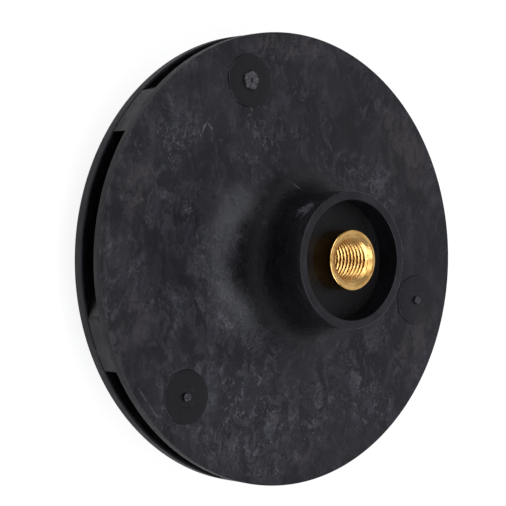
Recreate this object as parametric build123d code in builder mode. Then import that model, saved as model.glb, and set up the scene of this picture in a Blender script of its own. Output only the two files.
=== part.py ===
from build123d import *
from math import atan2, cos, degrees, log, radians, sin, tan
import os

# Closed centrifugal pump impeller, in millimetres. It lies as it rests, on the end of its inlet eye
# ring: the origin is the centre of that end face and +Z points to the hub and the motor. Water comes
# up through the eye, turns outwards between the two shrouds and leaves at the rim.
# The hub shroud carries the vanes and is one moulding. The inlet shroud is a second moulding, welded
# onto the vane edges. A brass insert with the motor shaft's thread is moulded into the hub.

os.makedirs("parts", exist_ok=True)

# Driving dimensions of the shrouds
impeller_diameter = 117.5
hub_shroud_thickness = 2.6
inlet_shroud_thickness = 2.9
outlet_width = 5.4  # waterway height at the rim
inlet_width = 10.5  # waterway height above the eye ring's outside
rim_chamfer = 0.3

# Inlet eye and the ring that runs in the pump's wear ring
eye_diameter = 44.0
eye_ring_wall = 5.0
eye_ring_length = 8.5
eye_ring_chamfer = 0.7
eye_ring_root_chamfer = 1.0
eye_lip_round = 3.0

# Vanes
vane_count = 6
vane_angle = 26.0  # between a vane's outer face and the circle that it crosses
vane_tip_thickness = 5.9
vane_nose_thickness = 2.6
vane_nose_reach = 2.5  # how far the vane's nose stands into the eye
vane_nose_bluntness = 0.52  # radius of the nose's arc as a share of its chord
vane_spans = 3  # arcs that make up each face
trailing_edge_azimuth = 147.8  # of the first vane's sharp trailing edge, from +X towards +Y
weld_relief_depth = 1.4  # how far in from the rim the vane stands clear of the inlet shroud
weld_relief_gap = 0.45

# Hub, from the shaft outwards
thread_minor_diameter = 9.84
thread_depth = 19.0
mouth_rim = 0.88  # of the end face, left flat round the countersink that leads into the thread
mouth_depth = 0.95  # of the countersink, down to the thread's minor diameter
insert_wall = 2.66
insert_floor = 3.3
insert_edge_chamfer = 0.25
insert_shoulder = 0.3  # the end that stands in the recess is this much prouder than the buried body
insert_groove_width = 2.5
insert_groove_depth = 0.8
seal_recess_width = 7.42
seal_recess_depth = 6.5
collar_wall = 2.2
collar_edge_chamfer = 0.25
flare_round = 14.2
hub_floor = 5.5  # moulding under the insert, down to the level of the waterway's top
nose_radius = 15.0
nose_tip_radius = 6.0
nose_height = 6.0
nose_round = 4.0

# Gates on the back of the hub shroud: a low round pad at each, with the stub that broke off it
gate_count = 3
gate_azimuth = 106.1
gate_pad_diameter = 13.7
gate_pad_height = 0.3
gate_pad_margin = 4.5  # from the pad's edge to the rim
gate_stub_diameter = 2.8
gate_stub_height = 0.45

# Radii that follow
rim_radius = impeller_diameter / 2
eye_radius = eye_diameter / 2
eye_ring_radius = eye_radius + eye_ring_wall
vane_nose_radius = eye_radius - vane_nose_reach
inside_nose_radius = vane_nose_radius - vane_nose_thickness
thread_minor_radius = thread_minor_diameter / 2
insert_radius = thread_minor_radius + insert_wall
mouth_radius = insert_radius - mouth_rim
insert_body_radius = insert_radius - insert_shoulder
groove_radius = insert_body_radius - insert_groove_depth
seal_recess_radius = insert_radius + seal_recess_width
collar_radius = seal_recess_radius + collar_wall
flare_radius = collar_radius + flare_round
lip_radius = eye_radius + eye_lip_round
gate_pad_radius = gate_pad_diameter / 2
gate_circle_radius = rim_radius - gate_pad_margin - gate_pad_radius
relief_radius = rim_radius - weld_relief_depth
past_rim_radius = rim_radius + weld_relief_depth

# Levels that follow, from the eye ring's end up
eye_inner_level = eye_ring_length + inlet_shroud_thickness
waterway_top = eye_inner_level + inlet_width
nose_tip_level = waterway_top - nose_height
back_face = waterway_top + hub_shroud_thickness
flare_top = back_face + flare_round
rim_inner_level = waterway_top - outlet_width
rim_outer_level = rim_inner_level - inlet_shroud_thickness
insert_bottom = waterway_top + hub_floor
thread_bottom = insert_bottom + insert_floor
collar_top = thread_bottom + thread_depth
mouth_level = collar_top - mouth_depth
seal_recess_floor = collar_top - seal_recess_depth
groove_middle = (insert_bottom + seal_recess_floor) / 2

# Rise of the inlet shroud for each millimetre of radius
shroud_slope = (inlet_width - outlet_width) / (rim_radius - eye_ring_radius)


def shroud_inner_level(radius):
    """Level of the inlet shroud's waterway face at a radius."""
    return eye_inner_level + shroud_slope * (radius - eye_ring_radius)


# The lip leads from the eye's bore into the cone, and the flare rounds from the disc into the collar
lip_level = shroud_inner_level(eye_radius) - eye_lip_round
flare_middle = (
    flare_radius - flare_round * sin(radians(45)),
    flare_top - flare_round * cos(radians(45)),
)

# The vanes run from the inlet shroud's cone, carried on into the eye, to the hub shroud's disc
vane_foot_level = shroud_inner_level(inside_nose_radius)


def corner(section, radius, level):
    """The corner of a section at a radius and a level."""
    return section.vertices().sort_by_distance((radius, level))[0]


def polar_point(radius, azimuth):
    """Point in the plane at a radius and an azimuth in degrees."""
    return (radius * cos(radians(azimuth)), radius * sin(radians(azimuth)))


def vane_thickness(radius):
    """Thickness of a vane, which grows evenly from its nose to its tip."""
    share = (radius - vane_nose_radius) / (rim_radius - vane_nose_radius)
    return vane_nose_thickness + share * (vane_tip_thickness - vane_nose_thickness)


def vane_sweep(radius):
    """Azimuth in degrees by which a vane's outer face trails its own tip: a logarithmic spiral."""
    return degrees(log(rim_radius / radius) / tan(radians(vane_angle)))


def vane_width(radius):
    """Azimuth in degrees that a vane takes up at a radius."""
    return degrees(vane_thickness(radius) / (radius * sin(radians(vane_angle))))


def outer_face_azimuth(radius):
    """Azimuth of a vane's outer, convex face; its inner face lies one vane width further on."""
    return trailing_edge_azimuth - vane_width(rim_radius) - vane_sweep(radius)


def outer_face_point(radius):
    """Point of a vane's outer, convex face."""
    return polar_point(radius, outer_face_azimuth(radius))


def inner_face_point(radius):
    """Point of a vane's inner, concave face."""
    return polar_point(radius, outer_face_azimuth(radius) + vane_width(radius))


def stations(last_radius):
    """Radii at which a vane's face is laid out, from just past the rim in to its nose."""
    shrink = last_radius / past_rim_radius
    return [past_rim_radius * shrink ** (step / vane_spans) for step in range(vane_spans + 1)]


def inward_direction(point):
    """Direction in which a vane's face leaves its outermost point."""
    azimuth = degrees(atan2(point[1], point[0]))
    return polar_point(1, azimuth - 90 - vane_angle)


def run_of_arcs(points, direction):
    """Arcs through the points, each tangent to the one before, and the first to the direction."""
    run = []
    for start, end in zip(points, points[1:]):
        arc = TangentArc(start, end, tangent=direction)
        direction = arc % 1
        run.append(arc)
    return run


# The nose stands square across the vane, so the outer face ends further out than the inner one
inner_points = [inner_face_point(radius) for radius in stations(vane_nose_radius)]
outer_nose_radius = vane_nose_radius + vane_nose_thickness * cos(radians(vane_angle))
outer_points = [outer_face_point(radius) for radius in stations(outer_nose_radius)]

# Outline of the insert's buried body, which the hub's moulding closes round: a groove keys the two
groove_top = groove_middle + insert_groove_width / 2
groove_foot = groove_middle - insert_groove_width / 2
buried_outline = [
    (insert_body_radius, seal_recess_floor),
    (insert_body_radius, groove_top),
    (groove_radius, groove_top),
    (groove_radius, groove_foot),
    (insert_body_radius, groove_foot),
    (insert_body_radius, insert_bottom),
    (0, insert_bottom),
]

# ---- Threaded insert: turned brass with a blind thread behind a shallow countersink ----
with BuildPart() as threaded_insert:
    with BuildSketch(Plane.XZ) as insert_section:
        with BuildLine():
            Polyline(
                *buried_outline,
                (0, thread_bottom),
                (thread_minor_radius, thread_bottom),
                (thread_minor_radius, mouth_level),
                (mouth_radius, collar_top),
                (insert_radius, collar_top),
                (insert_radius, seal_recess_floor),
                close=True,
            )
        make_face()
        chamfer(corner(insert_section, insert_radius, collar_top), insert_edge_chamfer)
    revolve(axis=Axis.Z)

# ---- Inlet shroud: a shallow cone with the eye ring standing on its outside ----
with BuildPart() as inlet_shroud:
    with BuildSketch(Plane.XZ) as inlet_section:
        with BuildLine():
            outside = Polyline(
                (eye_radius, lip_level),
                (eye_radius, 0),
                (eye_ring_radius, 0),
                (eye_ring_radius, eye_ring_length),
                (rim_radius, rim_outer_level),
                (rim_radius, rim_inner_level),
                (lip_radius, shroud_inner_level(lip_radius)),
            )
            Spline(outside @ 1, outside @ 0, tangents=[outside % 1, outside % 0])
        make_face()
        chamfer(corner(inlet_section, eye_radius, 0), eye_ring_chamfer)
        chamfer(corner(inlet_section, eye_ring_radius, 0), eye_ring_chamfer)
        chamfer(corner(inlet_section, eye_ring_radius, eye_ring_length), eye_ring_root_chamfer)
    revolve(axis=Axis.Z)

# ---- One vane: its outline, cut to the rim and the inlet shroud's cone, and relieved near the rim ----
with BuildPart() as vane:
    with BuildSketch(Plane.XY.offset(vane_foot_level)):
        with BuildLine():
            outer_face = run_of_arcs(outer_points, inward_direction(outer_points[0]))
            inner_face = run_of_arcs(inner_points, inward_direction(inner_points[0]))
            Line(inner_points[0], outer_points[0])
            nose_chord = (outer_face[-1] @ 1 - inner_face[-1] @ 1).length
            RadiusArc(outer_points[-1], inner_points[-1], nose_chord * vane_nose_bluntness)
        make_face()
    extrude(amount=waterway_top - vane_foot_level)
    with BuildSketch(Plane.XZ):
        with BuildLine():
            Polyline(
                (inside_nose_radius, vane_foot_level),
                (relief_radius, shroud_inner_level(relief_radius)),
                (relief_radius, shroud_inner_level(relief_radius) + weld_relief_gap),
                (rim_radius, shroud_inner_level(rim_radius) + weld_relief_gap),
                (rim_radius, waterway_top),
                (inside_nose_radius, waterway_top),
                close=True,
            )
        make_face()
    revolve(axis=Axis.Z, mode=Mode.INTERSECT)

# ---- Hub shroud: disc, flared hub with its seal recess, nose that faces the eye, vanes and gates ----
with BuildPart() as hub_shroud:
    with BuildSketch(Plane.XZ) as hub_section:
        with BuildLine():
            outside = Polyline(
                (collar_radius, flare_top),
                (collar_radius, collar_top),
                (seal_recess_radius, collar_top),
                (seal_recess_radius, seal_recess_floor),
                *buried_outline,
                (0, nose_tip_level),
                (nose_tip_radius, nose_tip_level),
                (nose_radius, waterway_top),
                (rim_radius, waterway_top),
                (rim_radius, back_face),
                (flare_radius, back_face),
            )
            Spline(outside @ 1, flare_middle, outside @ 0, tangents=[(-1, 0), (0, 1)])
        make_face()
        fillet(corner(hub_section, nose_tip_radius, nose_tip_level), nose_round)
        chamfer(corner(hub_section, rim_radius, back_face), rim_chamfer)
        chamfer(corner(hub_section, collar_radius, collar_top), collar_edge_chamfer)
        chamfer(corner(hub_section, seal_recess_radius, collar_top), collar_edge_chamfer)
    revolve(axis=Axis.Z)
    with PolarLocations(0, vane_count):
        add(vane.part)
    with BuildSketch(Plane.XY.offset(back_face)):
        with PolarLocations(gate_circle_radius, gate_count, start_angle=gate_azimuth):
            Circle(gate_pad_radius)
    extrude(amount=gate_pad_height)
    with BuildSketch(Plane.XY.offset(back_face + gate_pad_height)):
        with PolarLocations(gate_circle_radius, gate_count, start_angle=gate_azimuth):
            Circle(gate_stub_diameter / 2)
    extrude(amount=gate_stub_height)

hub_shroud.part.label = "hub_shroud"
inlet_shroud.part.label = "inlet_shroud"
threaded_insert.part.label = "threaded_insert"
export_step(hub_shroud.part, "parts/hub_shroud.step")
export_step(inlet_shroud.part, "parts/inlet_shroud.step")
export_step(threaded_insert.part, "parts/threaded_insert.step")
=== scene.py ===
from math import ceil, cos, degrees, hypot, log, pi, radians, sin, tan

import bmesh
import bpy
from mathutils import Matrix, Vector, noise


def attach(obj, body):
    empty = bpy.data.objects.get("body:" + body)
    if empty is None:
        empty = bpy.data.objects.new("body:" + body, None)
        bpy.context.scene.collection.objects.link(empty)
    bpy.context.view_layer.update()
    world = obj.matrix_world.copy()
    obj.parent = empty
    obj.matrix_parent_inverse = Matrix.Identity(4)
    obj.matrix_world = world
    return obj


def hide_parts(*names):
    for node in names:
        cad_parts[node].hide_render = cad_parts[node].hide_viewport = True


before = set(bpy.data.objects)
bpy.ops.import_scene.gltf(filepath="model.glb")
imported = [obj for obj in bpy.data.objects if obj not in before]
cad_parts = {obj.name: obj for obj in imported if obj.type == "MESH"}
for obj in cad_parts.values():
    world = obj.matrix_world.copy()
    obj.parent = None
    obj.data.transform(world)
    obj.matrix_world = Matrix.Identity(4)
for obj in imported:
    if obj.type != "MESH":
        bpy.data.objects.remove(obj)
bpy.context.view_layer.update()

MM = 0.001

# Sizes in millimetres. First the shrouds, the collar and the hub's nose
RIM = 58.75
EYE = 22.0
EYE_RING = 27.0
EYE_RING_LENGTH = 8.5
NOSE_ROW = 19.5
RIM_OUTER = 13.6
RIM_INNER = 16.5
EYE_INNER = 11.4
EYE_ROUND = 3.52
WATERWAY_TOP = 21.9
BACK_FACE = 24.5
COLLAR_TOP = 49.7
COLLAR = 17.2
RECESS = 15.0
RECESS_FLOOR = 43.2
FLARE_ROUND = 14.2
NOSE_TIP = 15.9
NOSE_FLAT = 6.0
NOSE_ROUND = 4.0
NOSE_FOOT = 15.0
SHROUD_SEGMENTS = 320

# The threaded insert. The countersink in its mouth turns steeper over the first thread, at MOUTH_BREAK
INSERT = 7.58
INSERT_BODY = 7.28
GROOVE = 6.48
GROOVE_TOP = 36.55
GROOVE_FOOT = 34.05
INSERT_BOTTOM = 27.4
THREAD_BOTTOM = 30.7
BORE = 4.92
THREAD_PITCH = 1.27
THREAD_HEIGHT = 0.636
THREAD_CREST = 0.377
THREAD_FLANK = 0.367
THREAD_BLANK = 1.2
THREAD_RUNOUT = 1.5
MOUTH = 6.7
MOUTH_DEPTH = 1.05
MOUTH_BREAK = 5.62
MOUTH_BREAK_DEPTH = 0.50
INSERT_SEGMENTS = 144
BORE_ROWS = 310

# The raised pads of the gates
GATE_CIRCLE = 47.4
GATE_PAD = 6.85
GATE_PAD_HEIGHT = 0.3
GATE_PAD_ROUND = 0.26
GATE_STEP = 0.1
PAD_TOP = BACK_FACE + GATE_PAD_HEIGHT
# One broken gate a line: azimuth in degrees, shift of its centre from the pad's, radius, height, depth of
# its dimple as a share of the height, seed of its lumps, and radius of the step round it, 0 for none
BROKEN_GATES = (
    (106.1, (0.2, 0.1), 2.55, 0.70, 0.75, 3.0, 0.0),
    (226.1, (0.0, 0.0), 1.20, 0.95, 0.15, 11.0, 2.75),
    (346.1, (0.0, 0.0), 1.15, 0.90, 0.15, 17.0, 2.75),
)

# The vanes, whose angles are in degrees, and the seam between their tips and the inlet cover
VANE_COUNT = 6
VANE_ANGLE = 26.0
VANE_TIP = 5.9
VANE_NOSE = 2.6
TRAILING_EDGE = 147.8
VANE_FLANK_START = 57.3
VANE_NOSE_BULGE = 0.9
RELIEF_RADIUS = 57.35
RELIEF_GAP = 0.45
FLASH_FOOT = 57.40
FLASH_LEAST = 57.55
FLASH_REACH = 1.18
FACING_VANE = 1  # its tip faces the camera


# ---------------------------------------------------------------- meshes

def make_piece(name, verts, faces, material):
    """Mesh object from millimetre points, smooth but for its real edges."""
    mesh = bpy.data.meshes.new(name)
    mesh.from_pydata([tuple(c * MM for c in v) for v in verts], [], faces)
    mesh.validate()
    obj = bpy.data.objects.new(name, mesh)
    bpy.context.scene.collection.objects.link(obj)
    mesh.materials.append(material)
    smooth(obj)
    return obj


def smooth(obj, angle=32.0):
    """Smooth shading, but for edges that are sharper than an angle in degrees."""
    for polygon in obj.data.polygons:
        polygon.use_smooth = True
    obj.data.set_sharp_from_angle(angle=radians(angle))


def rounded(corners, closed=False, spacing=6.0):
    """Profile through corners (r, z, round), with arcs at the rounds and long runs divided."""
    count = len(corners)
    out = []
    for i, (r, z, size) in enumerate(corners):
        here = Vector((r, z))
        if size == 0 or (not closed and i in (0, count - 1)):
            out.append(here)
            continue
        before = Vector(corners[i - 1][:2])
        after = Vector(corners[(i + 1) % count][:2])
        a = (before - here).normalized()
        b = (after - here).normalized()
        half = a.angle(b) / 2
        trim = size / tan(half)
        middle = here + (a + b).normalized() * (size / sin(half))
        start = here + a * trim - middle
        turn = pi - 2 * half
        side = 1 if start.cross(here + b * trim - middle) > 0 else -1
        steps = ceil(degrees(turn) / (3.0 if size > 2 else 18.0))
        for k in range(steps + 1):
            t = side * turn * k / steps
            swung = Vector((start.x * cos(t) - start.y * sin(t), start.x * sin(t) + start.y * cos(t)))
            out.append(middle + swung)
    divided = []
    pairs = zip(out, out[1:] + out[:1]) if closed else zip(out, out[1:])
    for p, q in pairs:
        parts = max(1, ceil((q - p).length / spacing))
        divided += [p.lerp(q, k / parts) for k in range(parts)]
    if not closed:
        divided.append(out[-1])
    return [(p.x, p.y) for p in divided]


def lathe(profile, segments, closed=False):
    """Turns a profile round the axis. A point on the axis is one vertex."""
    return lathe_rows([lambda _, p=p: p for p in profile], segments, closed)


def lathe_rows(rows, segments, closed=False):
    """Turns rows round the axis, each a function of the azimuth that gives (r, z)."""
    verts, faces, starts = [], [], []
    for row in rows:
        r, z = row(0.0)
        starts.append((len(verts), r > 1e-6))
        if r <= 1e-6:
            verts.append((0.0, 0.0, z))
            continue
        for s in range(segments):
            a = 2 * pi * s / segments
            r, z = row(a)
            verts.append((r * cos(a), r * sin(a), z))
    order = list(zip(starts, starts[1:] + starts[:1])) if closed else list(zip(starts, starts[1:]))
    for (i, i_ring), (j, j_ring) in order:
        for s in range(segments):
            t = (s + 1) % segments
            if i_ring and j_ring:
                faces.append((i + s, i + t, j + t, j + s))
            elif j_ring:
                faces.append((i, j + t, j + s))
            else:
                faces.append((i + s, i + t, j))
    return verts, faces


def outward(obj):
    """Turns the faces so that they look out of the solid."""
    bm = bmesh.new()
    bm.from_mesh(obj.data)
    bmesh.ops.recalc_face_normals(bm, faces=bm.faces)
    bm.to_mesh(obj.data)
    bm.free()


def join(target, others):
    """Joins the others to the target, as one solid."""
    for other in others:
        outward(other)
        modifier = target.modifiers.new("solid", "BOOLEAN")
        modifier.operation = "UNION"
        modifier.solver = "MANIFOLD"
        modifier.object = other
    graph = bpy.context.evaluated_depsgraph_get()
    mesh = bpy.data.meshes.new_from_object(target.evaluated_get(graph))
    target.modifiers.clear()
    target.data = mesh
    for other in others:
        bpy.data.objects.remove(other)
    smooth(target)


def shroud_level(r):
    """Height of the inlet cover's inner face at a radius."""
    return EYE_INNER + (RIM_INNER - EYE_INNER) / (RIM - EYE_RING) * (r - EYE_RING)


def vane_width(r):
    """A vane's width at a radius, in degrees of azimuth."""
    thickness = VANE_NOSE + (r - NOSE_ROW) / (RIM - NOSE_ROW) * (VANE_TIP - VANE_NOSE)
    return degrees(thickness / (r * sin(radians(VANE_ANGLE))))


def outer_azimuth(r):
    """Azimuth of the first vane's outer face at a radius, in degrees."""
    return TRAILING_EDGE - vane_width(RIM) - degrees(log(RIM / r) / tan(radians(VANE_ANGLE)))


def vane_mesh(turn):
    """One vane, as rows across it from the rim to its nose, with its foot on the inlet cover's cone."""
    across, along = 8, 30
    into_hub = 0.5
    tip = [RIM - 0.02, 58.1, RELIEF_RADIUS + 0.002, RELIEF_RADIUS - 0.002]
    nose_outer = NOSE_ROW + VANE_NOSE * cos(radians(VANE_ANGLE))
    start = VANE_FLANK_START
    outer = tip + [start * (nose_outer / start) ** (k / along) for k in range(1, along + 1)]
    inner = tip + [start * (NOSE_ROW / start) ** (k / along) for k in range(1, along + 1)]
    verts, faces = [], []
    rows = len(outer)
    for i, (ro, ri) in enumerate(zip(outer, inner)):
        a = outer_azimuth(ro)
        b = outer_azimuth(ri) + vane_width(ri)
        for j in range(across + 1):
            s = j / across
            r = ro + (ri - ro) * s
            az = radians(a + (b - a) * s + turn)
            x, y = r * cos(az), r * sin(az)
            if i == rows - 1:
                bulge = VANE_NOSE_BULGE * sin(pi * s)
                back = radians(a - 90 - VANE_ANGLE + turn)
                x, y = x + bulge * cos(back), y + bulge * sin(back)
            r = hypot(x, y)
            gap = RELIEF_GAP if r > RELIEF_RADIUS else 0.0
            verts.append((x, y, shroud_level(r) + gap))
            verts.append((x, y, WATERWAY_TOP + into_hub))
    wide = 2 * (across + 1)
    for i in range(rows - 1):
        for j in range(across):
            p = i * wide + 2 * j
            q = p + wide
            faces.append((p, p + 2, q + 2, q))
            faces.append((p + 1, q + 1, q + 3, p + 3))
        for p in (i * wide, i * wide + 2 * across):
            faces.append((p, p + wide, p + wide + 1, p + 1))
    for end in (0, (rows - 1) * wide):
        for j in range(across):
            p = end + 2 * j
            faces.append((p, p + 1, p + 3, p + 2))
    return verts, faces


def gate_pad(centre, step):
    """A low round pad with a softened edge, and the faint step round its gate where it has one."""
    foot, top = BACK_FACE - 0.5, PAD_TOP
    corners = [(0.0, foot, 0), (GATE_PAD, foot, 0), (GATE_PAD, top, GATE_PAD_ROUND)]
    if step:
        corners += [(step, top, 0), (step - GATE_STEP, top - GATE_STEP, 0)]
        top -= GATE_STEP
    corners.append((0.0, top, 0))
    verts, faces = lathe(rounded(corners, spacing=3.0), segments=128)
    verts = [(x + centre[0], y + centre[1], z) for x, y, z in verts]
    return make_piece("pad", verts, faces, plastic)


# ---------------------------------------------------------------- node trees

class Tree:
    """A node tree, with short calls for the nodes that this scene uses."""

    def __init__(self, owner):
        owner.use_nodes = True
        self.nodes = owner.node_tree.nodes
        self.links = owner.node_tree.links

    def put(self, socket, value):
        if isinstance(value, bpy.types.NodeSocket):
            self.links.new(value, socket)
        else:
            socket.default_value = value

    def node(self, kind, operation=None, **inputs):
        """A node with the inputs given by name, where an underscore stands for a space."""
        node = self.nodes.new("ShaderNode" + kind)
        if operation:
            node.operation = operation
        for key, value in inputs.items():
            self.put(node.inputs[key.replace("_", " ")], value)
        return node

    def math(self, operation, *values):
        node = self.node("Math", operation)
        for socket, value in zip(node.inputs, values):
            self.put(socket, value)
        return node.outputs[0]

    def chain(self, operation, values):
        """One operation, from the first value to the last."""
        result = values[0]
        for value in values[1:]:
            result = self.math(operation, result, value)
        return result

    def plus(self, *values):
        return self.chain("ADD", values)

    def times(self, *values):
        return self.chain("MULTIPLY", values)

    def most(self, *values):
        return self.chain("MAXIMUM", values)

    def ramp(self, value, low, high, to_low=0.0, to_high=1.0, smooth=True):
        """Goes from to_low to to_high as the value goes from low to high, and stays there beyond."""
        node = self.node(
            "MapRange", Value=value, From_Min=low, From_Max=high, To_Min=to_low, To_Max=to_high
        )
        node.interpolation_type = "SMOOTHSTEP" if smooth else "LINEAR"
        node.clamp = True
        return node.outputs["Result"]

    def blend(self, share, at_none, at_full):
        """A straight line between two values, as a share goes from 0 to 1."""
        return self.ramp(share, 0.0, 1.0, at_none, at_full, smooth=False)


class Finish(Tree):
    """A surface's material. Its points are in the object's own millimetres."""

    def __init__(self, name):
        self.material = bpy.data.materials.new(name)
        super().__init__(self.material)
        place = self.node("TexCoord").outputs["Object"]
        self.place = self.node("VectorMath", "SCALE", Vector=place, Scale=1 / MM).outputs[0]

    def axes(self):
        """A point's x, y and z."""
        return self.node("SeparateXYZ", Vector=self.place).outputs

    def from_axis(self, x, y):
        """A point's distance from the axis."""
        return self.math("SQRT", self.plus(self.times(x, x), self.times(y, y)))

    def noise(self, per_mm, detail, rough, warp, offset=(0, 0, 0), stretch=(1, 1, 1), turn=0.0):
        """Uneven values about 0.5. The offset sets which part of the pattern is used."""
        rotation = (0, 0, radians(turn))
        point = self.node("Mapping", Vector=self.place, Location=offset, Rotation=rotation, Scale=stretch)
        return self.node(
            "TexNoise", Vector=point.outputs[0], Scale=per_mm, Detail=detail, Roughness=rough, Distortion=warp
        ).outputs["Fac"]

    def mix(self, share, a, b):
        """The colour a where the share is 0, and b where it is 1."""
        node = self.node("Mix")
        node.data_type = "RGBA"
        self.put(node.inputs["Factor"], share)
        for key, value in (("A", a), ("B", b)):
            socket = next(s for s in node.inputs if s.name == key and s.type == "RGBA")
            self.put(socket, value if isinstance(value, bpy.types.NodeSocket) else (*value, 1.0))
        return next(s for s in node.outputs if s.type == "RGBA")

    def bump(self, height, strength, distance_mm, under=None):
        node = self.node("Bump", Strength=strength, Distance=distance_mm * MM, Height=height)
        if under is not None:
            self.put(node.inputs["Normal"], under)
        return node.outputs["Normal"]

    def mark(self, place, size, turn, strength, edge_noise, reach):
        """An ellipsoid's share at a point, with an uneven edge."""
        rotation = (0, 0, radians(turn))
        inside = self.node("Mapping", Vector=self.place, Location=place, Rotation=rotation, Scale=size)
        inside.vector_type = "TEXTURE"
        length = self.node("VectorMath", "LENGTH", Vector=inside.outputs[0]).outputs["Value"]
        edge = self.plus(length, self.ramp(edge_noise, 0.3, 0.7, reach, -reach, smooth=False))
        return self.ramp(edge, 0.35, 1.25, strength, 0.0)

    def finish(self, **sockets):
        shader = self.nodes["Principled BSDF"]
        for key, value in sockets.items():
            self.put(shader.inputs[key.replace("_", " ")], value)
        return self.material


# ---------------------------------------------------------------- materials

# Broad marks on the back face: centre, half lengths along and across in mm, turn in degrees, strength
PALE_MARKS = (
    (-4.0, -46.5, 15.0, 9.0, 10, 0.80), (-39.5, 27.0, 12.0, 6.5, 35, 0.40),
    (-54.5, 1.0, 13.0, 4.5, 90, 0.30), (28.5, 19.0, 9.0, 8.0, 20, 0.85),
    (22.0, -38.0, 15.0, 10.0, -25, 0.55), (-14.0, -37.0, 11.0, 7.0, 0, 0.65),
    (-30.0, -43.0, 9.0, 4.0, -35, 0.50), (-22.0, -14.0, 5.0, 8.0, 30, 0.55),
)
BROWN_MARKS = (
    (41.5, 30.0, 15.0, 7.0, -55, 0.80), (4.0, 55.5, 17.0, 4.0, 0, 0.75),
    (46.0, -24.0, 16.0, 6.0, 60, 0.65), (-49.0, 17.0, 9.0, 6.0, 70, 0.70),
    (-49.0, -16.0, 10.0, 6.0, 80, 0.50), (2.0, -50.0, 14.0, 5.0, 0, 0.45),
)
DARK_MARKS = (
    (-37.5, -0.5, 8.0, 9.0, 0, 0.65), (7.0, 48.0, 11.0, 5.0, 5, 0.65),
    (4.5, -28.0, 10.0, 6.0, 20, 0.60), (48.5, 2.5, 6.0, 9.0, 0, 0.50),
    (-31.5, -22.5, 9.0, 6.0, 40, 0.55), (24.0, 46.0, 8.0, 6.0, 0, 0.35),
    (44.0, 22.0, 6.0, 7.0, 20, 0.45),
)
# Small rubbed places: centre and half lengths in mm, turn in degrees, strength
RUBS = (
    (-11.6, 12.6, 44.9, 2.6, 2.0, 2.6, 40, 0.85), (-3.4, 18.4, 32.3, 0.35, 1.2, 2.6, 10, 0.70),
    (-15.4, 9.0, 34.0, 0.5, 2.2, 0.9, 30, 0.15), (-27.4, 33.2, 24.5, 2.3, 0.34, 0.8, 62, 0.80),
    (-25.9, 33.6, 24.5, 1.9, 0.30, 0.8, -48, 0.80), (-44.0, -35.5, 24.5, 5.4, 0.28, 0.8, -52, 0.45),
)

# Colours of the plastic, and the brass as turned and dulled, with a brown that is painted shade on the
# insert's side
BARE_DARK, BARE_GREY = (0.0030, 0.0031, 0.0046), (0.0084, 0.0082, 0.0110)
VEIL_COOL, VEIL_WARM = (0.0205, 0.0204, 0.0272), (0.0300, 0.0240, 0.0275)
WISP_COOL, WISP_WARM = (0.0350, 0.0347, 0.0430), (0.0475, 0.0400, 0.0435)
CURL = (0.0740, 0.0700, 0.0815)
BROWN = (0.0370, 0.0285, 0.0290)
PIT = (0.0016, 0.0018, 0.0028)
PAD_BLACK = (0.0012, 0.0011, 0.0022)
# Painted shade for the hub's side
HUB_PAINTED_SHADE = (0.0011, 0.0012, 0.0018)
# Painted shade for the recess and the waterway
INNER_PAINTED_SHADE = (0.0010, 0.0009, 0.0011)
RUBBED = (0.0900, 0.0880, 0.1050)
# The scar's black is also painted shade on the walls of the broken gates
SCAR_BLACK_AND_SHADE, SCAR_PALE = (0.0015, 0.0015, 0.0024), (0.068, 0.067, 0.074)
BRASS_BRIGHT, BRASS_DULL, BRASS_SHADE_BROWN = (0.84, 0.53, 0.185), (0.62, 0.34, 0.090), (0.150, 0.066, 0.016)

PLASTIC_IOR = 1.5


def marks(g, places, edge_noise):
    """The strongest of the broad marks at a point."""
    depth = 3.0
    return g.most(*(
        g.mark((x, y, BACK_FACE), (along, across, depth), turn, strength, edge_noise, reach=0.45)
        for x, y, along, across, turn, strength in places
    ))


def rubs(g, edge_noise):
    """The strongest of the small rubbed places at a point."""
    return g.most(*(
        g.mark((x, y, z), (a, b, c), turn, strength, edge_noise, reach=0.55)
        for x, y, z, a, b, c, turn, strength in RUBS
    ))


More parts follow.
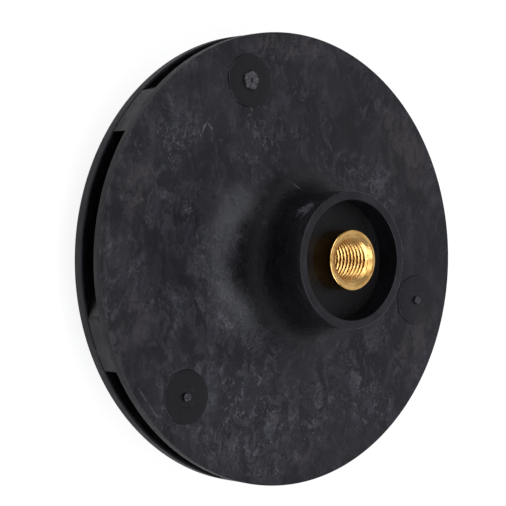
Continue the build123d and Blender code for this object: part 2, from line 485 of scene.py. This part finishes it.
def moulded_plastic():
    """Black plastic. On the open disc it has a film of dust, brown stains, pits and rubs."""
    g = Finish("moulded_black_plastic")
    x, y, z = g.axes()
    radius = g.from_axis(x, y)
    ragged = g.noise(0.11, 6, 0.62, 0.8, (41, 7, 3))
    clouds = g.noise(0.055, 5, 0.60, 0.9)
    patches = g.noise(0.13, 7, 0.60, 0.9, (13, 5, 2), (1.0, 0.6, 1.0), 35)
    hues = g.noise(0.10, 6, 0.66, 1.1, (27, 14, 8))
    feather = g.noise(0.30, 7, 0.66, 0.9, (3, 31, 7), (1.0, 0.6, 1.0), -30)
    curls = g.noise(0.62, 6, 0.68, 1.0, (8, 2, 19), (1.0, 0.7, 1.0), 60)
    grain = g.noise(1.1, 5, 0.72, 0.8, (9, 1, 4))
    coarse_relief = g.noise(0.24, 5, 0.62, 0.7, (5, 5, 5))
    pale = marks(g, PALE_MARKS, ragged)
    brown = marks(g, BROWN_MARKS, ragged)
    dark = marks(g, DARK_MARKS, ragged)
    rubbed = rubs(g, curls)

    # Where a point is: on the open disc, on a gate's pad, in the recess, in the waterway or on the hub
    wavy_radius = g.plus(radius, g.ramp(ragged, 0.3, 0.7, -3.0, 3.0, smooth=False))
    least_dust = 0.12
    from_hub = g.ramp(wavy_radius, 18.5, 26.5, least_dust, 1.0)
    above = g.ramp(z, BACK_FACE - 0.35, BACK_FACE - 0.08)
    open_disc = g.times(from_hub, g.blend(above, 0.10, 1.0))
    within_recess = g.ramp(radius, RECESS - 0.1, RECESS + 0.05, 1.0, 0.0)
    below_lip = g.ramp(z, COLLAR_TOP - 0.4, COLLAR_TOP - 0.1, 1.0, 0.0)
    in_recess = g.times(within_recess, below_lip)
    on_pad = g.times(g.ramp(z, BACK_FACE + 0.10, BACK_FACE + 0.22), g.ramp(radius, 36.0, 39.0))
    behind_rim = g.ramp(radius, RIM - 0.85, RIM - 0.25, 1.0, 0.0)
    inside = g.times(behind_rim, g.ramp(z, WATERWAY_TOP + 0.5, WATERWAY_TOP + 1.1, 1.0, 0.0))
    lip = g.ramp(z, COLLAR_TOP - 0.4, COLLAR_TOP - 0.1, 1.0, 0.15)
    hub_shade = g.times(g.ramp(from_hub, least_dust, 0.60, 0.80, 0.0, smooth=False), lip)

    # Less dust near the hub and its recess, and far less below the back face, which also darkens the waterway
    # as painted shade
    dusty = g.plus(g.ramp(clouds, 0.38, 0.64, 0.12, 0.62), g.times(pale, 0.85))
    dusty = g.times(dusty, g.blend(dark, 1.0, 0.08), open_disc, g.blend(on_pad, 1.0, 0.20))

    # Each layer lies on the one before
    warm = g.times(g.ramp(hues, 0.46, 0.58), g.blend(dusty, 0.10, 1.0))
    film = g.times(g.ramp(patches, 0.40, 0.66), g.blend(dusty, 0.05, 1.0))
    film = g.most(film, g.times(pale, open_disc, 0.60))
    colour = g.mix(g.ramp(patches, 0.38, 0.64), BARE_DARK, BARE_GREY)
    colour = g.mix(film, colour, g.mix(warm, VEIL_COOL, VEIL_WARM))
    wisps = g.times(g.ramp(feather, 0.50, 0.60), g.blend(dusty, 0.08, 1.0))
    colour = g.mix(wisps, colour, g.mix(warm, WISP_COOL, WISP_WARM))
    curl = g.times(g.ramp(curls, 0.55, 0.63), g.ramp(dusty, 0.15, 0.9, 0.0, 0.85, smooth=False))
    colour = g.mix(curl, colour, CURL)
    colour = g.mix(g.times(brown, g.ramp(feather, 0.44, 0.54, 0.10, 0.85)), colour, BROWN)
    pits = g.times(g.ramp(grain, 0.38, 0.48, 0.95, 0.0), g.ramp(dusty, 0.0, 0.7, 0.25, 1.0, smooth=False))
    colour = g.mix(pits, colour, PIT)
    colour = g.mix(g.times(on_pad, g.ramp(x, 15.0, 30.0, 0.95, 0.45)), colour, PAD_BLACK)
    # Painted shade: near the axis, the hub's side and the steep foot of its flare are darkened almost to
    # black, the collar's top only a little
    colour = g.mix(hub_shade, colour, HUB_PAINTED_SHADE)
    # Painted shade: the recess and the waterway behind the rim are darkened almost to black
    colour = g.mix(g.times(g.most(in_recess, inside), 0.92), colour, INNER_PAINTED_SHADE)
    colour = g.mix(g.times(rubbed, g.ramp(curls, 0.42, 0.52, 0.25, 1.0)), colour, RUBBED)

    # Rougher under the dust, below the back face but for the waterway, and in the recess
    rough = g.plus(g.ramp(dusty, 0.0, 0.8, 0.33, 0.44), g.ramp(feather, 0.40, 0.62, -0.04, 0.06))
    below = g.times(g.ramp(above, 0.0, 1.0, 0.32, 0.0), g.ramp(inside, 0.0, 1.0, 1.0, 0.0))
    rough = g.plus(rough, g.plus(below, g.times(in_recess, 0.20)))
    coarse = g.bump(coarse_relief, 0.45, 0.26)
    fine = g.bump(g.times(grain, g.ramp(dusty, 0.0, 0.6, 0.35, 1.0, smooth=False)), 0.85, 0.18, coarse)
    return g.finish(
        Base_Color=colour, Roughness=rough, Normal=fine, IOR=PLASTIC_IOR, Specular_IOR_Level=0.31
    )


def scarred_plastic():
    """Torn plastic, pale where it was stretched on top, with black walls that are painted shade."""
    g = Finish("sheared_gate_plastic")
    _, _, z = g.axes()
    torn = g.noise(1.3, 5, 0.66, 0.4, (7, 2, 1))
    # Pale on top only: below it, the walls stay black as painted shade
    pale = g.times(g.ramp(torn, 0.34, 0.60, 0.15, 1.0), g.ramp(z, PAD_TOP + 0.32, PAD_TOP + 0.50))
    return g.finish(
        Base_Color=g.mix(pale, SCAR_BLACK_AND_SHADE, SCAR_PALE), Roughness=0.45, Normal=g.bump(torn, 0.7, 0.15),
        IOR=PLASTIC_IOR, Specular_IOR_Level=0.3
    )


def turned_brass():
    """Brass with turning lines, a side painted dark brown as painted shade, and a thread that is duller than
    the lead into it.
    """
    g = Finish("turned_brass")
    x, y, z = g.axes()
    radius = g.from_axis(x, y)
    rings = g.node("CombineXYZ", X=radius, Z=z).outputs[0]
    lines = g.node("TexNoise", Vector=rings, Scale=9.0, Detail=3.0).outputs["Fac"]
    tarnish = g.noise(0.5, 5, 0.65, 0.5)
    colour = g.mix(g.ramp(tarnish, 0.40, 0.66), BRASS_BRIGHT, BRASS_DULL)
    below_rim = g.ramp(z, COLLAR_TOP - 0.55, COLLAR_TOP - 0.35, 1.0, 0.0)
    # Painted shade: the insert's side in the recess, below its rim, is turned dark brown
    side = g.times(g.ramp(radius, INSERT - 0.23, INSERT - 0.13), below_rim)
    colour = g.mix(g.times(side, 0.65), colour, BRASS_SHADE_BROWN)
    below_lead = g.ramp(z, COLLAR_TOP - 0.7, COLLAR_TOP - 0.4, 1.0, 0.0)
    in_bore = g.times(below_lead, g.ramp(radius, MOUTH_BREAK + 0.08, MOUTH_BREAK + 0.38, 1.0, 0.0))
    rough = g.plus(g.ramp(tarnish, 0.35, 0.7, 0.20, 0.30), g.times(in_bore, 0.07))
    return g.finish(Base_Color=colour, Roughness=rough, Metallic=1.0, Normal=g.bump(lines, 0.25, 0.02))


plastic = moulded_plastic()
scar_plastic = scarred_plastic()
brass = turned_brass()

# ---------------------------------------------------------------- hub with its vanes

hub_profile = rounded([
    (0.0, NOSE_TIP, 0), (NOSE_FLAT, NOSE_TIP, NOSE_ROUND), (NOSE_FOOT, WATERWAY_TOP, 0),
    (RIM, WATERWAY_TOP, 0.15), (RIM, BACK_FACE, 0.3),
    (COLLAR, BACK_FACE, FLARE_ROUND), (COLLAR, COLLAR_TOP, 0.28),
    (RECESS, COLLAR_TOP, 0.25), (RECESS, RECESS_FLOOR, 0.0), (INSERT_BODY, RECESS_FLOOR, 0.0),
    (INSERT_BODY, GROOVE_TOP, 0.0), (GROOVE, GROOVE_TOP, 0.0), (GROOVE, GROOVE_FOOT, 0.0),
    (INSERT_BODY, GROOVE_FOOT, 0.0), (INSERT_BODY, INSERT_BOTTOM, 0.0), (0.0, INSERT_BOTTOM, 0),
])
hub = make_piece("hub_moulding", *lathe(hub_profile, SHROUD_SEGMENTS), plastic)
outward(hub)
vanes = [make_piece("vane", *vane_mesh(360.0 / VANE_COUNT * k), plastic) for k in range(VANE_COUNT)]
join(hub, vanes)

gate_centres = [
    (GATE_CIRCLE * cos(radians(azimuth)), GATE_CIRCLE * sin(radians(azimuth)))
    for azimuth, *_ in BROKEN_GATES
]
pads = [gate_pad(centre, step) for centre, (*_, step) in zip(gate_centres, BROKEN_GATES)]
join(hub, pads)
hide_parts("hub_shroud")
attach(hub, "root")

# ---------------------------------------------------------------- inlet cover

cover_profile = rounded([
    (EYE, 0.0, 0.7), (EYE_RING, 0.0, 0.7), (EYE_RING, EYE_RING_LENGTH, 1.2), (RIM, RIM_OUTER, 0.25),
    (RIM, RIM_INNER, 0.15), (EYE, shroud_level(EYE), EYE_ROUND),
], closed=True)
cover = make_piece("inlet_cover", *lathe(cover_profile, SHROUD_SEGMENTS, closed=True), plastic)
outward(cover)


def seam_reach(vane, share):
    """How far out the weld's flash comes, from the seam's foot to flush with the rim."""
    coarse = noise.noise(Vector((share * 3.1, vane * 7.3, 1.7)))
    fine = noise.noise(Vector((share * 9.0, vane * 3.1, 5.2)))
    uneven = coarse + 0.5 * fine
    if vane != FACING_VANE:
        return min(1.0, max(0.05, 0.55 + 0.8 * uneven))
    # An open seam up to 0.57 of this tip, flash flush with the rim up to 0.74, and a lower line beyond
    if share <= 0.57:
        line = 0.12
    elif share < 0.74:
        line = 1.0
    else:
        line = 0.72
    return line + 0.08 * uneven


def flash_bead(vane):
    """The melted line between a vane's land and the inlet cover."""
    steps, around = 48, 5
    verts, faces = [], []
    start = TRAILING_EDGE - vane_width(RIM) + 360.0 / VANE_COUNT * vane + 0.25
    span = vane_width(RIM) - 1.1
    low = RIM_INNER - 0.25
    for k in range(steps + 1):
        share = k / steps
        a = radians(start + span * share)
        reach = min(RIM - 0.01, FLASH_LEAST + FLASH_REACH * seam_reach(vane, share))
        top = RIM_INNER + RELIEF_GAP - 0.05 - 0.08 * abs(noise.noise(Vector((share * 14, vane, 3))))
        section = (
            (FLASH_FOOT, low), (reach, low), (reach, top - 0.05), (reach - 0.08, top),
            (FLASH_FOOT, top - 0.12),
        )
        verts += [(r * cos(a), r * sin(a), z) for r, z in section]
    for k in range(steps):
        for j in range(around):
            p, q = k * around + j, k * around + (j + 1) % around
            faces.append((p, q, q + around, p + around))
    faces.append(tuple(range(around)))
    faces.append(tuple(steps * around + j for j in reversed(range(around))))
    return make_piece("flash", verts, faces, plastic)


join(cover, [flash_bead(k) for k in range(VANE_COUNT)])
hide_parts("inlet_shroud")
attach(cover, "root")

# ---------------------------------------------------------------- threaded insert

def groove_share(turns):
    """The groove's depth, as a share of the thread's height, after a number of turns of the screw."""
    t = (turns % 1.0) * THREAD_PITCH
    if t < THREAD_CREST:
        return 0.0
    if t < THREAD_CREST + THREAD_FLANK:
        return (t - THREAD_CREST) / THREAD_FLANK
    if t > THREAD_PITCH - THREAD_FLANK:
        return (THREAD_PITCH - t) / THREAD_FLANK
    return 1.0


def countersink(down):
    """The countersink's radius at a depth below the mouth."""
    if down < MOUTH_BREAK_DEPTH:
        return MOUTH + (MOUTH_BREAK - MOUTH) * down / MOUTH_BREAK_DEPTH
    steep_depth = MOUTH_DEPTH - MOUTH_BREAK_DEPTH
    return MOUTH_BREAK - (MOUTH_BREAK - BORE) * (down - MOUTH_BREAK_DEPTH) / steep_depth


def bore_row(z):
    """A row of the threaded bore at one height. The thread runs out above the plain end of the bore."""
    def row(a):
        fade = min(1.0, max(0.0, (z - THREAD_BOTTOM - THREAD_BLANK) / THREAD_RUNOUT))
        groove = BORE + THREAD_HEIGHT * fade * groove_share(z / THREAD_PITCH - a / (2 * pi))
        return max(groove, countersink(COLLAR_TOP - z)), z
    return row


outside = rounded([
    (0.0, INSERT_BOTTOM, 0), (INSERT_BODY, INSERT_BOTTOM, 0), (INSERT_BODY, GROOVE_FOOT, 0),
    (GROOVE, GROOVE_FOOT, 0), (GROOVE, GROOVE_TOP, 0), (INSERT_BODY, GROOVE_TOP, 0),
    (INSERT_BODY, RECESS_FLOOR, 0), (INSERT, RECESS_FLOOR, 0), (INSERT, COLLAR_TOP, 0.36),
    (MOUTH, COLLAR_TOP, 0),
], spacing=1.5)
rows = [lambda _, p=p: p for p in outside]
depth = COLLAR_TOP - THREAD_BOTTOM
rows += [bore_row(COLLAR_TOP - depth * k / BORE_ROWS) for k in range(1, BORE_ROWS + 1)]
rows.append(lambda _: (0.0, THREAD_BOTTOM))
insert = make_piece("threaded_brass_insert", *lathe_rows(rows, INSERT_SEGMENTS), brass)
outward(insert)
smooth(insert, 40.0)
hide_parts("threaded_insert")
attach(insert, "root")

# ---------------------------------------------------------------- broken gates on their pads

def lumps(x, y, seed):
    """Uneven height of the torn plastic at a point."""
    coarse = noise.noise(Vector((x * 1.9, y * 1.9, seed)))
    return coarse + 0.6 * noise.noise(Vector((x * 4.5, y * 4.5, seed)))


def torn_mound(name, centre, radius, foot, height, dimple, seed):
    """A rough nub of broken plastic, dimpled in the middle."""
    rings, around = 12, 48
    raggedness, lumpiness = 0.16, 0.45
    dimple_reach = 0.24
    buried = 0.05
    verts = [(centre[0], centre[1], foot + height * 0.55)]
    faces = []
    for i in range(1, rings + 1):
        share = i / rings
        for s in range(around):
            a = 2 * pi * s / around
            edge = radius * (1 + raggedness * noise.noise(Vector((cos(a) * 1.7, sin(a) * 1.7, seed))))
            x, y = centre[0] + edge * share * cos(a), centre[1] + edge * share * sin(a)
            crown = (1 - share ** 8) * (1 + lumpiness * lumps(x, y, seed))
            crown -= dimple * max(0.0, 1 - (share / dimple_reach) ** 2)
            verts.append((x, y, foot - buried if i == rings else foot + height * max(0.1, crown)))
    for i in range(rings):
        for s in range(around):
            t = (s + 1) % around
            if i == 0:
                faces.append((0, 1 + s, 1 + t))
            else:
                p, q = 1 + (i - 1) * around, 1 + i * around
                faces.append((p + s, q + s, q + t, p + t))
    faces.append(tuple(1 + (rings - 1) * around + s for s in reversed(range(around))))
    piece = make_piece(name, verts, faces, scar_plastic)
    outward(piece)
    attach(piece, "root")


for number, (pad, gate) in enumerate(zip(gate_centres, BROKEN_GATES), 1):
    _, shift, radius, height, dimple, seed, step = gate
    foot = PAD_TOP - GATE_STEP if step else PAD_TOP
    centre = (pad[0] + shift[0], pad[1] + shift[1])
    torn_mound(f"broken_gate_{number}", centre, radius, foot, height, dimple, seed)

# ---------------------------------------------------------------- floor, in metres

FLOOR_HALF = 20.0
FLOOR_DROP = 0.00002
FLOOR_GREY = 0.22
FLOOR_GLOW = 0.86  # how pale it looks to the camera and in reflections, where 1 is white

floor_finish = bpy.data.materials.new("pale_floor")
tree = Tree(floor_finish)
tree.nodes.clear()
rays = tree.node("LightPath").outputs
seen = tree.most(rays["Is Camera Ray"], rays["Is Glossy Ray"], rays["Is Transmission Ray"])
matt = tree.node("BsdfDiffuse", Color=(FLOOR_GREY, FLOOR_GREY, FLOOR_GREY, 1))
glow = tree.node("Emission", Strength=tree.times(seen, FLOOR_GLOW))
both = tree.node("AddShader")
tree.put(both.inputs[0], matt.outputs[0])
tree.put(both.inputs[1], glow.outputs[0])
tree.node("OutputMaterial", Surface=both.outputs[0])

floor_mesh = bpy.data.meshes.new("floor")
floor_corners = [(FLOOR_HALF * x, FLOOR_HALF * y, 0) for x, y in ((-1, -1), (1, -1), (1, 1), (-1, 1))]
floor_mesh.from_pydata(floor_corners, [], [(0, 1, 2, 3)])
floor_mesh.materials.append(floor_finish)
floor = bpy.data.objects.new("floor", floor_mesh)
floor.location.z = -FLOOR_DROP
bpy.context.scene.collection.objects.link(floor)

# ---------------------------------------------------------------- room, lamps and camera, in metres

# The room is bright on the hub's far side, less so to the sides and low down, and dark behind the camera
ROOM_DARK, ROOM_BRIGHT = 0.09, 0.74
ROOM_LOW_DOWN = 0.35
ROOM_COLOUR = (0.97, 0.98, 1.06, 1)

world = bpy.data.worlds.new("studio")
bpy.context.scene.world = world
sky = Tree(world)
x, y, z = sky.node("SeparateXYZ", Vector=sky.node("TexCoord").outputs["Generated"]).outputs
ahead = sky.math("MULTIPLY_ADD", sky.math("ABSOLUTE", y), -0.35, x)
room = sky.ramp(ahead, -0.35, 0.75, ROOM_DARK, ROOM_BRIGHT)
low_down = sky.ramp(z, -0.10, 0.50, ROOM_LOW_DOWN, 1.0, smooth=False)
background = sky.nodes["Background"]
sky.put(background.inputs["Strength"], sky.times(room, low_down))
background.inputs["Color"].default_value = ROOM_COLOUR

SOFTBOX_SIZE = (0.50, 0.86)
SOFTBOX_COLOUR = (0.96, 0.98, 1.06)
AIM_HEIGHT = 0.03


def softbox(name, place, power):
    """A rectangular lamp that faces the line under it, at the height of the impeller's disc."""
    data = bpy.data.lights.new(name, "AREA")
    data.shape = "RECTANGLE"
    data.size, data.size_y = SOFTBOX_SIZE
    data.energy = power
    data.color = SOFTBOX_COLOUR
    lamp = bpy.data.objects.new(name, data)
    bpy.context.scene.collection.objects.link(lamp)
    lamp.location = place
    aim = Vector((place[0], 0, AIM_HEIGHT))
    lamp.rotation_euler = (aim - Vector(place)).to_track_quat("-Z", "Y").to_euler()


# Two softboxes over the camera, with a narrow gap between them
softbox("softbox_far", (-0.28, 0.42, 0.62), 4.1)
softbox("softbox_near", (-0.27, -0.42, 0.62), 4.65)

# The camera's place, its axes to the right, up and back, and its lens in millimetres
CAMERA_PLACE = (-0.292703, 0.004484, 0.374127)
CAMERA_RIGHT = Vector((0.77946121, 0.00520779, 0.62642885))
CAMERA_UP = Vector((0.0, 0.99996545, -0.00831316))
CAMERA_BACK = Vector((-0.62645050, 0.00647979, 0.77943428))
CAMERA_LENS = 124.917
CAMERA_SENSOR = 36.0

camera_data = bpy.data.cameras.new("camera")
camera_data.lens = CAMERA_LENS
camera_data.sensor_width = CAMERA_SENSOR
camera = bpy.data.objects.new("camera", camera_data)
bpy.context.scene.collection.objects.link(camera)
turned = Matrix((CAMERA_RIGHT, CAMERA_UP, CAMERA_BACK)).transposed().to_4x4()
camera.matrix_world = Matrix.Translation(CAMERA_PLACE) @ turned
bpy.context.scene.camera = camera
bpy.context.scene.view_settings.view_transform = "Standard"

bpy.context.view_layer.update()
